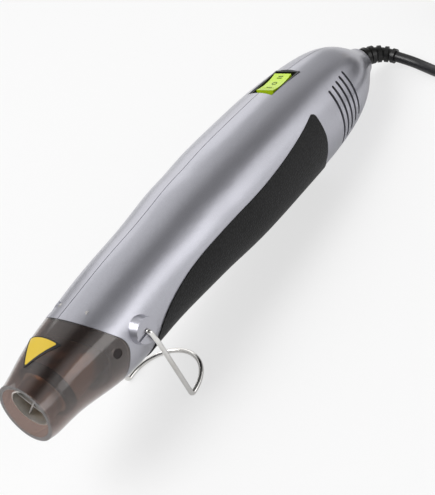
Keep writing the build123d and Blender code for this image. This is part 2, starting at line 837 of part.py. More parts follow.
def bend_radius(before, corner, after):
    """Radius that takes 0.45 of the shorter run on each side of a corner."""
    turn = math.radians((corner - before).get_angle(after - corner))
    return 0.45 * min((corner - before).length, (after - corner).length) / math.tan(turn / 2)


radii = [bend_radius(*route[count:count + 3]) for count in range(len(route) - 2)]
lead_path = FilletPolyline(*route, radius=radii)
lead_face = Plane(origin=route[0], z_dir=lead_heading) * Circle(cord_radius)
placed["cord_lead"] = sweep(lead_face, path=lead_path)


# Put-away coil: in and out again in layers that lie on each other, with the plug's tail on top
def coil_radii():
    """Distance of each half turn's start from the coil's middle, from the inside out."""
    steps = [coil_inner_radius, coil_inner_radius + coil_edge_step]
    while len(steps) < coil_layer_half_turns:
        steps.append(steps[-1] + coil_pitch / 2)
    return steps + [steps[-1] + coil_edge_step]


reaches = coil_radii()
coil_centre = route[-1] + Vector(0, reaches[-1], 0)
coil_top = (coil_layers - 1) * coil_pitch + cord_radius
plug_lift = coil_top + plug_gap + plug_thickness / 2


def coil_stops():
    """Reach and lift at the start of every half turn, and at the end of the last."""
    stops = []
    for layer in range(coil_layers):
        order = reaches if layer % 2 else reversed(reaches)
        stops += [(reach, layer * coil_pitch) for reach in order]
    return stops + [(reaches[-1], plug_lift)]


def coil_path():
    """The coil's centre line: half turns, each climb as two quarter turns, then the tail to the plug."""
    pieces, tangent = [], Vector(1, 0, 0)
    corners = []
    stops = coil_stops()
    for count, (reach, lift) in enumerate(stops):
        side = 1 if count % 2 else -1
        corners.append(coil_centre + Vector(0, side * reach, lift))
        if count + 1 < len(stops) and stops[count + 1][1] > lift:
            rise = stops[count + 1][1] - lift
            corners.append(coil_centre + Vector(-side * math.hypot(reach, rise / 2), 0, lift + rise / 2))
    corners.append(corners[-1] + Vector(tail_bend, tail_bend, 0))
    for start, end in zip(corners[:-1], corners[1:]):
        arc = TangentArc(start, end, tangent=tangent)
        tangent = arc % 1
        pieces.append(arc)
    tail = corners[-1] + tangent * tail_run
    pieces.append(Line(corners[-1], tail))
    return Wire(pieces), tail, tangent


coil_wire, tail_end, tail_heading = coil_path()
coil_face = Plane(origin=coil_wire @ 0, z_dir=coil_wire % 0) * Circle(cord_radius)
placed["cord_coil"] = sweep(coil_face, path=coil_wire)


def least_gap(wire, radius, apart):
    """Least gap between stretches of a round wire that lie further than apart from each other along it."""
    count = int(wire.length / radius * 2)
    spots = [wire @ (step / count) for step in range(count + 1)]
    spots = [(spot.X, spot.Y, spot.Z) for spot in spots]
    skip = int(apart / wire.length * count)
    least = min(math.dist(spots[first], spots[second])
                for first in range(len(spots)) for second in range(first + skip, len(spots)))
    return least - 2 * radius


# Tie round the coil's layers
def cord_tie():
    """Flat band round every layer of the coil."""
    inside = reaches[0] - cord_radius - tie_side_gap
    outside = reaches[-1] + cord_radius + tie_side_gap
    depth = outside - inside
    height = coil_top + cord_radius + 2 * tie_gap
    hole = RectangleRounded(depth, height, tie_round)
    band = RectangleRounded(depth + 2 * tie_wall, height + 2 * tie_wall, tie_round + tie_wall)
    middle = Pos((inside + outside) / 2, -tie_width / 2, (coil_top - cord_radius) / 2)
    ring = extrude(Plane.XZ * (band - hole), -tie_width)
    return Pos(*coil_centre) * Rot(0, 0, tie_turn) * middle * ring


placed["cord_tie"] = cord_tie()


# Plug: neck, body and two blades
def plug_pieces():
    """Plug body that lies on the coil, and its two flat blades."""
    ahead = Plane(origin=tail_end, z_dir=tail_heading, x_dir=(1, 0, 0))
    neck = ahead * Circle(cord_radius + plug_neck_wall)
    shoulder = ahead.offset(plug_neck_length) * RectangleRounded(plug_width, plug_thickness, plug_round)
    body = loft([neck, shoulder])
    body += extrude(shoulder, plug_length)
    face = ahead.offset(plug_neck_length + plug_length)
    blades = Part()
    for sign in (-1, 1):
        blades += extrude(face * Pos(sign * blade_spacing / 2, 0) * Rectangle(blade_plate, blade_width),
                          blade_length)
    return body, blades


placed["plug_body"], placed["plug_blades"] = plug_pieces()


os.makedirs("parts", exist_ok=True)
for name, piece in placed.items():
    export_step(piece, f"parts/{name}.step")

cord_total = lead_path.length + coil_wire.length
lead_ideal = math.pi * cord_radius ** 2 * lead_path.length
coil_ideal = math.pi * cord_radius ** 2 * coil_wire.length
print("lead bend radii:", [round(radius, 1) for radius in radii])
print("cord length outside the tool:", round(cord_total, 1))
print("lead volume over ideal:", round(placed["cord_lead"].volume / lead_ideal, 4))
print("winding least gap to itself:", round(least_gap(winding_run, winding_wire, 3 * winding_radius), 3))
print("coil least gap to itself:", round(least_gap(coil_wire, cord_radius, 8 * coil_pitch), 3))
print("coil volume over ideal:", round(placed["cord_coil"].volume / coil_ideal, 4))
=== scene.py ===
"""Looks of the embossing heat tool: finishes for every piece, the cord, the small marks, light and camera."""
from __future__ import annotations

import json
import logging
import math
from dataclasses import dataclass
from enum import Enum

import bmesh
import bpy
from mathutils import Matrix, Vector
from mathutils.bvhtree import BVHTree


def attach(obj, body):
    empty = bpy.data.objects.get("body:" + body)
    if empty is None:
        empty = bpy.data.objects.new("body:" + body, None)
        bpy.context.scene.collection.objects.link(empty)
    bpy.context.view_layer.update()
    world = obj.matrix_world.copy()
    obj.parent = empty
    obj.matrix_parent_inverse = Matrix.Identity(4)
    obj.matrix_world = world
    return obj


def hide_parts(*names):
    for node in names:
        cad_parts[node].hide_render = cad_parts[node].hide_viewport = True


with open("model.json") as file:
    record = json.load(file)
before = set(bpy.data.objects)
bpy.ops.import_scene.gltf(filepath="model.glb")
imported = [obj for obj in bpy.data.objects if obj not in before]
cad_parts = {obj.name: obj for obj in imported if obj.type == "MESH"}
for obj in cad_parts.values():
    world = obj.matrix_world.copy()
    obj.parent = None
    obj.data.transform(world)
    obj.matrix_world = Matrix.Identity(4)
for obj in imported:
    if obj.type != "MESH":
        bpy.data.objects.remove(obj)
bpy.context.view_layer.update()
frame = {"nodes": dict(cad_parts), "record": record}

log = logging.getLogger("heat_tool")
Colour = tuple[float, float, float]
Point = tuple[float, float, float]
Span = tuple[float, float]
Steps = tuple[tuple[float, float], ...]

MM = 0.001
IMAGE_WIDTH = 435
COARSE_DETAIL = 2.0
FINE_DETAIL = 3.0
UNIT: Span = (0.0, 1.0)


class Body(Enum):
    """The bodies that new pieces ride on."""

    TOOL = "tool"
    ROCKER = "rocker"


@dataclass(frozen=True)
class Attitude:
    """The tool's own axes, pitched nose up and set down as it rests; shift is in millimetres."""

    cosine: float = 0.97992
    sine: float = 0.19937
    shift: Span = (-124.593, 58.524)

    def place(self, x: float, y: float, z: float) -> Vector:
        """A point on the tool's own axes, in millimetres, taken to metres in the part's frame."""
        return Vector((self.cosine * x + self.sine * z + self.shift[0], y,
                       self.cosine * z - self.sine * x + self.shift[1])) * MM

    def along(self) -> Vector:
        """The direction from the mouth to the tail."""
        return Vector((self.cosine, 0, -self.sine))

    def up(self) -> Vector:
        """The tool's own upward direction."""
        return Vector((self.sine, 0, self.cosine))

    def origin(self) -> Vector:
        """The mouth end of the tool's axis, in millimetres in the part's frame."""
        return Vector((self.shift[0], 0, self.shift[1]))


ATTITUDE = Attitude()


class Nodes:
    """A node tree, with short ways to add and join nodes."""

    def __init__(self, tree: bpy.types.NodeTree) -> None:
        """Keep the tree that is worked on."""
        self.tree = tree

    def add(self, kind: str, **settings: object) -> bpy.types.Node:
        """Add a node and set its properties or its sockets' values.

        Args:
            kind: Name of the node's type.
            settings: Properties by name, or sockets' values by their name with spaces as underscores.

        Returns:
            The new node.
        """
        node = self.tree.nodes.new(kind)
        for name, value in settings.items():
            socket = node.inputs.get(name.replace("_", " "))
            if hasattr(node, name):
                setattr(node, name, value)
            elif socket is not None:
                socket.default_value = value
        return node

    def join(self, source: bpy.types.NodeSocket, target: bpy.types.NodeSocket) -> None:
        """Link one socket to another."""
        self.tree.links.new(source, target)

    def maths(self, operation: str, *values: bpy.types.NodeSocket | float) -> bpy.types.NodeSocket:
        """Work out one step of arithmetic.

        Args:
            operation: Name of the Math node's operation.
            values: What goes in, each a socket or a number.

        Returns:
            The result's socket.
        """
        node = self.add("ShaderNodeMath", operation=operation)
        for value, socket in zip(values, node.inputs):
            if isinstance(value, bpy.types.NodeSocket):
                self.join(value, socket)
            else:
                socket.default_value = value
        return node.outputs["Value"]

    def reach(self, place: bpy.types.NodeSocket, heading: Vector, start: float) -> bpy.types.NodeSocket:
        """How far a place lies along a heading, counted from a start.

        Args:
            place: Socket with the place.
            heading: The heading.
            start: Number that is added.

        Returns:
            The distance's socket.
        """
        dot = self.add("ShaderNodeVectorMath", operation="DOT_PRODUCT")
        dot.inputs[1].default_value = heading
        self.join(place, dot.inputs[0])
        return self.maths("ADD", dot.outputs["Value"], start)

    def ramp(self, factor: bpy.types.NodeSocket, stops: list[tuple[float, Colour]]) -> bpy.types.NodeSocket:
        """Colours along a factor.

        Args:
            factor: The factor's socket.
            stops: Places from 0 to 1 with their colours.

        Returns:
            The colour's socket.
        """
        node = self.add("ShaderNodeValToRGB")
        elements = node.color_ramp.elements
        while len(elements) < len(stops):
            elements.new(1.0)
        for element, (place, colour) in zip(elements, stops):
            element.position = place
            element.color = (*colour, 1.0)
        self.join(factor, node.inputs["Fac"])
        return node.outputs["Color"]

    def levels(self, factor: bpy.types.NodeSocket, steps: Steps) -> bpy.types.NodeSocket:
        """Grey levels along a factor, from places with their levels."""
        return self.ramp(factor, [(place, (level, level, level)) for place, level in steps])

    def spread(self, factor: bpy.types.NodeSocket, ends: Span, starts: Span = UNIT) -> bpy.types.NodeSocket:
        """Turn one range of numbers into another.

        Args:
            factor: Socket with the number.
            ends: The range that comes out.
            starts: The range that goes in.

        Returns:
            The new number's socket.
        """
        node = self.add("ShaderNodeMapRange")
        for name, value in zip(("From Min", "From Max", "To Min", "To Max"), (*starts, *ends)):
            node.inputs[name].default_value = value
        self.join(factor, node.inputs["Value"])
        return node.outputs["Result"]


class Graph(Nodes):
    """A material's node tree, with its shader and its patterns on Object coordinates."""

    def __init__(self, name: str) -> None:
        """Start a material with a shader and an output.

        Args:
            name: Name of the material.
        """
        self.material = bpy.data.materials.new(name)
        self.material.use_nodes = True
        super().__init__(self.material.node_tree)
        self.shader = self.tree.nodes["Principled BSDF"]
        self.output = self.tree.nodes["Material Output"]

    def set(self, **values: object) -> None:
        """Set values on the shader's own sockets, by their names with spaces as underscores."""
        for name, value in values.items():
            self.shader.inputs[name.replace("_", " ")].default_value = value

    def feed(self, source: bpy.types.NodeSocket, name: str) -> None:
        """Link a socket to one of the shader's, by its name."""
        self.join(source, self.shader.inputs[name])

    def place(self, scale: Point = (1, 1, 1)) -> bpy.types.NodeSocket:
        """Object coordinates, stretched.

        Args:
            scale: Stretch along each axis.

        Returns:
            The socket with the coordinates.
        """
        coordinates = self.add("ShaderNodeTexCoord")
        mapping = self.add("ShaderNodeMapping")
        mapping.inputs["Scale"].default_value = scale
        self.join(coordinates.outputs["Object"], mapping.inputs["Vector"])
        return mapping.outputs["Vector"]

    def noise(self, per_mm: float, detail: float = FINE_DETAIL,
              scale: Point = (1, 1, 1)) -> bpy.types.NodeSocket:
        """Noise on Object coordinates.

        Args:
            per_mm: Features in each millimetre.
            detail: Octaves of finer noise.
            scale: Stretch along each axis.

        Returns:
            The noise's value.
        """
        node = self.add("ShaderNodeTexNoise", Scale=per_mm / MM, Detail=detail)
        self.join(self.place(scale), node.inputs["Vector"])
        return node.outputs["Fac"]

    def bump(self, height: bpy.types.NodeSocket, strength: float, depth: float) -> None:
        """Bump the shader's surface by a height.

        Args:
            height: Socket with the height, from 0 to 1.
            strength: How strong the bump is.
            depth: Depth of the bump, in millimetres.
        """
        node = self.add("ShaderNodeBump", Strength=strength, Distance=depth * MM)
        self.join(height, node.inputs["Height"])
        self.feed(node.outputs["Normal"], "Normal")


@dataclass(frozen=True)
class SatinPaint:
    """Silver-lilac metallic paint with fine flake and faint orange peel, near-black as painted shade on the
    tongue under the cone.

    The lobe, the rounding, the margin and the depth of the peel are in millimetres.
    """

    low: Colour = (0.43, 0.43, 0.475)
    high: Colour = (0.52, 0.52, 0.57)
    flake_per_mm: float = 6.0
    flake_places: Span = (0.35, 0.65)
    metallic: float = 0.72
    cloud_per_mm: float = 0.08
    roughness: Span = (0.27, 0.34)
    coat: float = 0.12
    coat_roughness: float = 0.25
    peel_per_mm: float = 1.1
    peel_strength: float = 0.06
    peel_depth: float = 0.05
    # Painted shade: near-black colour for the tongue inside the cone.
    painted_tongue_shade: Colour = (0.03, 0.024, 0.024)
    lobe: Span = (41.9, -4.4)
    top_slope: float = 0.721
    low_slope: float = 0.251
    rounding: float = 6.2
    margin: float = 0.45

    def build(self) -> bpy.types.Material:
        """Make the material.

        Returns:
            The material.
        """
        graph = Graph("satin_paint")
        flake = graph.noise(self.flake_per_mm, COARSE_DETAIL)
        paint = graph.ramp(flake, list(zip(self.flake_places, (self.low, self.high))))
        # Painted shade: the tongue inside the cone takes a near-black colour instead of the paint.
        shaded_tongue = graph.add("ShaderNodeMix", data_type="RGBA")
        shaded_tongue.inputs["B"].default_value = (*self.painted_tongue_shade, 1)
        graph.join(self.painted_shade_mask(graph), shaded_tongue.inputs["Factor"])
        graph.join(paint, shaded_tongue.inputs["A"])
        graph.feed(shaded_tongue.outputs["Result"], "Base Color")
        graph.feed(graph.spread(graph.noise(self.cloud_per_mm), self.roughness), "Roughness")
        graph.set(Metallic=self.metallic, Coat_Weight=self.coat, Coat_Roughness=self.coat_roughness)
        graph.bump(graph.noise(self.peel_per_mm, COARSE_DETAIL), self.peel_strength, self.peel_depth)
        return graph.material

    def painted_shade_mask(self, graph: Graph) -> bpy.types.NodeSocket:
        """Mask of painted shade: one ahead of the curved joint line, where the housing's tongue and pegs lie
        in the cone's shade, and nought behind it.

        Args:
            graph: The material's graph.

        Returns:
            The mask's socket.
        """
        place = graph.place()
        origin = ATTITUDE.origin()
        lobe, height = self.lobe
        edges = []
        for slope in (-self.top_slope, self.low_slope):
            lean = ATTITUDE.up() * slope
            edges.append(graph.reach(place, lean, (lobe - slope * height - lean.dot(origin)) * MM))
        along = ATTITUDE.along()
        distance = graph.reach(place, along, (self.margin - along.dot(origin)) * MM)
        return graph.maths("LESS_THAN", distance, graph.maths("SMOOTH_MIN", *edges, self.rounding * MM))


@dataclass(frozen=True)
class SmokedPlastic:
    """Clear moulded plastic with a smoky mauve-brown tint."""

    tint: Colour = (0.31, 0.23, 0.205)
    deepening: float = 0.9
    cloud_per_mm: float = 0.05
    cloud_places: Span = (0.3, 0.7)
    haze_per_mm: float = 0.3
    roughness: Span = (0.11, 0.17)
    transmission: float = 0.94
    refraction: float = 1.55
    coat: float = 0.6
    coat_refraction: float = 1.5
    coat_roughness: float = 0.1
    ripple_per_mm: float = 0.4
    ripple_strength: float = 0.04
    ripple_depth: float = 0.05

    def build(self) -> bpy.types.Material:
        """Make the material.

        Returns:
            The material.
        """
        graph = Graph("smoked_plastic")
        deep = tuple(value * self.deepening for value in self.tint)
        cloud = graph.noise(self.cloud_per_mm, COARSE_DETAIL)
        graph.feed(graph.ramp(cloud, list(zip(self.cloud_places, (deep, self.tint)))), "Base Color")
        graph.feed(graph.spread(graph.noise(self.haze_per_mm), self.roughness), "Roughness")
        graph.set(Transmission_Weight=self.transmission, IOR=self.refraction, Coat_Weight=self.coat,
                  Coat_IOR=self.coat_refraction, Coat_Roughness=self.coat_roughness)
        graph.bump(graph.noise(self.ripple_per_mm, COARSE_DETAIL), self.ripple_strength, self.ripple_depth)
        return graph.material


@dataclass(frozen=True)
class Moulded:
    """Opaque moulded plastic or rubber with a fine grain."""

    name: str
    colour: Colour
    shade: float = 0.85
    roughness: float = 0.5
    spread: float = 0.08
    grain_per_mm: float = 4.0
    grain_depth: float = 0.03
    grain_strength: float = 0.2
    coat: float = 0.0
    coat_roughness: float = 0.1
    cloud_per_mm: float = 0.12
    cloud_places: Span = (0.3, 0.7)
    wear_per_mm: float = 0.5

    def build(self) -> bpy.types.Material:
        """Make the material.

        Returns:
            The material.
        """
        graph = Graph(self.name)
        dark = tuple(value * self.shade for value in self.colour)
        cloud = graph.noise(self.cloud_per_mm)
        graph.feed(graph.ramp(cloud, list(zip(self.cloud_places, (dark, self.colour)))), "Base Color")
        ends = (self.roughness - self.spread, self.roughness + self.spread)
        graph.feed(graph.spread(graph.noise(self.wear_per_mm), ends), "Roughness")
        graph.set(Coat_Weight=self.coat, Coat_Roughness=self.coat_roughness)
        graph.bump(graph.noise(self.grain_per_mm, COARSE_DETAIL), self.grain_strength, self.grain_depth)
        return graph.material


@dataclass(frozen=True)
class GrainedRubber:
    """Black rubber with a leather-like moulded grain, its grooves coloured darker than its hills as painted
    shade.
    """

    # The low colour is painted shade in the grain's grooves; the high one is the rubber's own colour.
    low: Colour = (0.002, 0.002, 0.002)
    high: Colour = (0.010, 0.010, 0.011)
    high_place: float = 0.7
    cells_per_mm: float = 0.75
    wander_per_mm: float = 0.6
    wander_share: float = 0.0006
    hill_width: float = 0.28
    hill_strength: float = 0.5
    hill_depth: float = 0.14
    wear_per_mm: float = 0.4
    roughness: Span = (0.36, 0.46)
    specular: float = 0.22

    def build(self) -> bpy.types.Material:
        """Make the material.

        Returns:
            The material.
        """
        graph = Graph("grained_rubber")
        cloud = graph.add("ShaderNodeTexNoise", Scale=self.wander_per_mm / MM, Detail=COARSE_DETAIL)
        graph.join(graph.place(), cloud.inputs["Vector"])
        wander = graph.add("ShaderNodeMix", data_type="VECTOR")
        wander.inputs["Factor"].default_value = self.wander_share
        graph.join(graph.place(), wander.inputs["A"])
        graph.join(cloud.outputs["Color"], wander.inputs["B"])
        cells = graph.add("ShaderNodeTexVoronoi", feature="DISTANCE_TO_EDGE", Scale=self.cells_per_mm / MM)
        graph.join(wander.outputs["Result"], cells.inputs["Vector"])
        hills = graph.add("ShaderNodeMapRange", interpolation_type="SMOOTHSTEP")
        hills.inputs["From Max"].default_value = self.hill_width
        graph.join(cells.outputs["Distance"], hills.inputs["Value"])
        height = hills.outputs["Result"]
        # Painted shade: the colour follows the grain's height, darker in the grooves than on the hills.
        graph.feed(graph.ramp(height, [(0.0, self.low), (self.high_place, self.high)]), "Base Color")
        graph.feed(graph.spread(graph.noise(self.wear_per_mm), self.roughness), "Roughness")
        graph.set(Specular_IOR_Level=self.specular)
        graph.bump(height, self.hill_strength, self.hill_depth)
        return graph.material


@dataclass(frozen=True)
class DrawnMetal:
    """Metal with fine lines along its length and clouds of a second tone."""

    name: str
    colour: Colour
    tint: Colour
    roughness: float = 0.25
    spread: float = 0.07
    cloud_per_mm: float = 0.06
    cloud_places: Span = (0.35, 0.65)
    lines_per_mm: float = 4.0
    line_stretch: float = 0.06
    line_strength: float = 0.08
    line_depth: float = 0.02

    def build(self) -> bpy.types.Material:
        """Make the material.

        Returns:
            The material.
        """
        graph = Graph(self.name)
        cloud = graph.noise(self.cloud_per_mm, COARSE_DETAIL)
        graph.feed(graph.ramp(cloud, list(zip(self.cloud_places, (self.tint, self.colour)))), "Base Color")
        lines = graph.noise(self.lines_per_mm, COARSE_DETAIL, (self.line_stretch, 1, 1))
        ends = (self.roughness - self.spread, self.roughness + self.spread)
        graph.feed(graph.spread(lines, ends), "Roughness")
        graph.set(Metallic=1.0)
        graph.bump(lines, self.line_strength, self.line_depth)
        return graph.material


@dataclass(frozen=True)
class HeatedSteel:
    """Drawn steel that its heat has coloured: plain at the mouth, straw and copper further in.

    The span runs back from the mouth, in millimetres, and the places are shares of it.
    """

    plain: Colour = (0.80, 0.77, 0.73)
    straw: Colour = (0.95, 0.74, 0.50)
    copper: Colour = (0.92, 0.58, 0.34)
    span: Span = (4.0, 70.0)
    places: tuple[float, ...] = (0.0, 0.12, 0.4, 0.8, 1.0)
    metallic: float = 0.85
    wear_per_mm: float = 0.5
    roughness: Span = (0.26, 0.36)
    grain_per_mm: float = 4.0
    grain_strength: float = 0.08
    grain_depth: float = 0.02

    def build(self) -> bpy.types.Material:
        """Make the material.

        Returns:
            The material.
        """
        graph = Graph("heated_steel")
        along = ATTITUDE.along()
        distance = graph.reach(graph.place(), along, -along.dot(ATTITUDE.origin()) * MM)
        share = graph.spread(distance, UNIT, (self.span[0] * MM, self.span[1] * MM))
        colours = (self.plain, self.straw, self.copper, self.straw, self.plain)
        graph.feed(graph.ramp(share, list(zip(self.places, colours))), "Base Color")
        graph.feed(graph.spread(graph.noise(self.wear_per_mm), self.roughness), "Roughness")
        graph.set(Metallic=self.metallic)
        graph.bump(graph.noise(self.grain_per_mm, COARSE_DETAIL), self.grain_strength, self.grain_depth)
        return graph.material


FINISHES = {
    "shell": SatinPaint(),
    "cone": SmokedPlastic(),
    "grip": GrainedRubber(),
    "steel_wire": DrawnMetal("bright_wire", (0.82, 0.81, 0.79), (0.72, 0.70, 0.67), 0.16),
    "black_plastic": Moulded("black_plastic", (0.007, 0.007, 0.007), roughness=0.4),
    "lime": Moulded("lime_plastic", (0.56, 0.80, 0.012), 0.93, roughness=0.28, coat=0.3, grain_strength=0.05),
    "brass": DrawnMetal("bright_brass", (0.82, 0.62, 0.28), (0.70, 0.50, 0.22), 0.25),
    "black_rubber": Moulded("relief_rubber", (0.008, 0.008, 0.008), roughness=0.36),
    "cord": Moulded("cord_rubber", (0.007, 0.007, 0.008), roughness=0.34),
    "tie": Moulded("tie_plastic", (0.02, 0.02, 0.02), roughness=0.5),
    "screws": DrawnMetal("plated_screw", (0.50, 0.49, 0.47), (0.38, 0.37, 0.36), 0.3),
    "steel": HeatedSteel(),
    "mica": Moulded("mica_sheet", (0.40, 0.385, 0.365), 0.6, roughness=0.3, coat=0.5),
    "wire": DrawnMetal("heating_wire", (0.32, 0.30, 0.29), (0.2, 0.18, 0.17), 0.35),
    "duct": Moulded("natural_plastic", (0.75, 0.73, 0.67), roughness=0.4),
    "board": Moulded("paper_laminate", (0.27, 0.15, 0.05), 0.8, roughness=0.4),
    "amber": Moulded("dipped_amber", (0.55, 0.20, 0.02), roughness=0.2, coat=0.4),
}
# Painted shade: the plate's dark edge stands for the shadow gap round it.
PLATE_GAP_SHADE = Moulded("plate_gap_shade", (0.01, 0.01, 0.01), roughness=0.4)
PLATE_YELLOW = Moulded("plate_yellow", (0.74, 0.52, 0.04), 0.97, roughness=0.35, grain_strength=0.02)
MARK_OLIVE = Moulded("mark_olive", (0.10, 0.16, 0.004), roughness=0.35, grain_strength=0.03)


def mesh_data(name: str, mesh: bmesh.types.BMesh) -> bpy.types.Mesh:
    """Turn a finished bmesh into mesh data.

    Args:
        name: Name of the data.
        mesh: The bmesh, which is freed.

    Returns:
        The mesh data.
    """
    data = bpy.data.meshes.new(name)
    mesh.to_mesh(data)
    mesh.free()
    return data


def add_object(name: str, data: bpy.types.ID) -> bpy.types.Object:
    """Put an object with some data in the scene.

    Args:
        name: Name of the object.
        data: Its mesh, curve, lamp or camera.

    Returns:
        The new object.
    """
    made = bpy.data.objects.new(name, data)
    bpy.context.collection.objects.link(made)
    return made


def new_piece(name: str, mesh: bmesh.types.BMesh, body: Body,
              material: bpy.types.Material) -> bpy.types.Object:
    """Turn a finished bmesh into a piece of the tool.

    Args:
        name: Name of the piece.
        mesh: Its mesh, in place.
        body: Body that it rides on.
        material: Its finish.

    Returns:
        The new object.
    """
    data = mesh_data(name, mesh)
    data.materials.append(material)
    piece = add_object(name, data)
    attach(piece, body.value)
    log.info("%s: %d faces", name, len(data.polygons))
    return piece


class Finisher:
    """Builds each finish once and dresses the CAD nodes with them."""

    def __init__(self) -> None:
        """Build every finish."""
        self.made = {slot: finish.build() for slot, finish in FINISHES.items()}

    def dress_nodes(self) -> None:
        """Give each CAD node the finish of its material slot."""
        slots = {entry["node"]: entry["material_slot"] for entry in frame["record"]["subparts"]}
        for name, node in frame["nodes"].items():
            for place in node.material_slots:
                place.material = self.made[slots[name]]
            log.info("dressed %s", name)


@dataclass
class ConePlate:
    """Bare yellow three-cornered plate, bent to the top of the cone, with a dark edge of painted shade that
    stands for the shadow gap round it.

    Sizes are in millimetres. The corner's reach is a share of its radius. The front's and the length's inset
    say how many times the outline's own inset they draw in.
    """

    front: float = 8.0
    rear: float = 21.2
    half_width: float = 8.4
    corner: float = 0.5
    corner_reach: float = 0.8
    least_half: float = 0.02
    # Width of the dark edge of painted shade round the yellow face.
    edge: float = 0.75
    front_inset: float = 1.4
    length_inset: float = 2.2
    thickness: float = 0.22
    face_step: float = 0.06
    lift: float = 0.04
    cast_height: float = 40.0
    rows: int = 26
    columns: int = 24

    def half_at(self, share: float, inset: float) -> float:
        """Half the width at a share of the length, rounded at the corners.

        Args:
            share: Share of the plate's length, from its front.
            inset: How far the outline is drawn in.

        Returns:
            Half the width there.
        """
        length = self.rear - self.front - 2 * inset
        slope = self.half_width / (self.rear - self.front)
        from_front, from_rear = share * length, (1 - share) * length
        chord = max(self.corner ** 2 - max(self.corner - from_front, 0) ** 2, 0)
        round_front = math.sqrt(chord) / self.corner
        half = slope * (from_front + self.corner_reach * self.corner) * round_front
        dip = max(self.corner - from_rear, 0) ** 2 / self.corner
        return max(half * (1 - inset / self.half_width) - dip, self.least_half)

    def skin(self, tree: BVHTree, inset: float, top: float) -> bmesh.types.BMesh:
        """A thin skin on the cone in the plate's outline.

        Args:
            tree: Search tree of the cone's faces.
            inset: How far the outline is drawn in.
            top: Height of the skin's top over the cone.

        Returns:
            Its closed mesh.
        """
        mesh = bmesh.new()
        bmesh.ops.create_grid(mesh, x_segments=self.rows, y_segments=self.columns, size=0.5)
        down = -ATTITUDE.up()
        for vert in mesh.verts:
            share, across = vert.co.x + 0.5, vert.co.y * 2
            run = share * (self.rear - self.front - self.length_inset * inset)
            x = self.front + inset * self.front_inset + run
            start = ATTITUDE.place(x, across * self.half_at(share, inset), self.cast_height)
            spot, normal, _, _ = tree.ray_cast(start, down)
            vert.co = spot + normal * top * MM
        bmesh.ops.recalc_face_normals(mesh, faces=mesh.faces)
        bmesh.ops.solidify(mesh, geom=mesh.faces, thickness=(top - self.lift) * MM)
        bmesh.ops.recalc_face_normals(mesh, faces=mesh.faces)
        return mesh

    def build(self) -> None:
        """Lay the dark edge of painted gap shade and the yellow face on the cone."""
        cone = frame["nodes"]["nose_cone"]
        corners = [cone.matrix_world @ vert.co for vert in cone.data.vertices]
        tree = BVHTree.FromPolygons(corners, [tuple(face.vertices) for face in cone.data.polygons])
        # The dark skin is painted shade for the gap round the plate; the yellow one is the plate itself.
        dark, yellow = PLATE_GAP_SHADE.build(), PLATE_YELLOW.build()
        top = self.lift + self.thickness
        new_piece("cone_plate_gap_shade", self.skin(tree, 0.0, top), Body.TOOL, dark)
        new_piece("cone_plate", self.skin(tree, self.edge, top + self.face_step), Body.TOOL, yellow)


@dataclass
class RockerMarks:
    """Raised position marks on the rocker: one bar, a ring and two bars; sizes in millimetres."""

    middle: float = 182.7
    top: float = 25.2
    dish: float = 0.9
    half_length: float = 7.25
    height: float = 0.12
    bar: Span = (0.55, 2.5)
    bars: tuple[float, ...] = (-3.9, 4.3, 5.5)
    ring_place: float = 0.1
    ring_outer: float = 1.25
    ring_inner: float = 0.8
    segments: int = 28

    def spot(self, along: float) -> Vector:
        """Point of the rocker's hollow top at a distance from its middle."""
        rise = self.dish * (along / self.half_length) ** 2
        return ATTITUDE.place(self.middle + along, 0, self.top + rise)

    def add_bars(self, mesh: bmesh.types.BMesh, turn: Matrix) -> None:
        """Add the bars to a mesh.

        Args:
            mesh: The mesh.
            turn: Turn from upright to the tool's own attitude.
        """
        length, width = self.bar
        stretch = Matrix.Diagonal((length * MM, width * MM, 2 * self.height * MM, 1))
        for along in self.bars:
            matrix = Matrix.Translation(self.spot(along)) @ turn @ stretch
            bmesh.ops.create_cube(mesh, size=1.0, matrix=matrix)

    def add_ring(self, mesh: bmesh.types.BMesh, turn: Matrix) -> None:
        """Spin the ring round the origin, where no other mark is, and move it to its place.

        Args:
            mesh: The mesh.
            turn: Turn from upright to the tool's own attitude.
        """
        before = set(mesh.verts)
        inner, outer, height = self.ring_inner, self.ring_outer, self.height
        section = ((inner, -height), (outer, -height), (outer, height), (inner, height))
        loop = [mesh.verts.new(Vector((radius, 0, level)) * MM) for radius, level in section]
        edges = [mesh.edges.new(pair) for pair in zip(loop, loop[1:] + loop[:1])]
        bmesh.ops.spin(mesh, geom=loop + edges, cent=(0, 0, 0), axis=(0, 0, 1), angle=2 * math.pi,
                       steps=self.segments, use_merge=True)
        ring = [vert for vert in mesh.verts if vert not in before]
        matrix = Matrix.Translation(self.spot(self.ring_place)) @ turn
        bmesh.ops.transform(mesh, matrix=matrix, verts=ring)

    def build(self) -> None:
        """Make all the marks as one piece that rides on the rocker."""
        mesh = bmesh.new()
        turn = ATTITUDE.up().rotation_difference(Vector((0, 0, 1))).inverted().to_matrix().to_4x4()
        self.add_bars(mesh, turn)
        self.add_ring(mesh, turn)
        bmesh.ops.recalc_face_normals(mesh, faces=mesh.faces)
        new_piece("rocker_marks", mesh, Body.ROCKER, MARK_OLIVE.build())


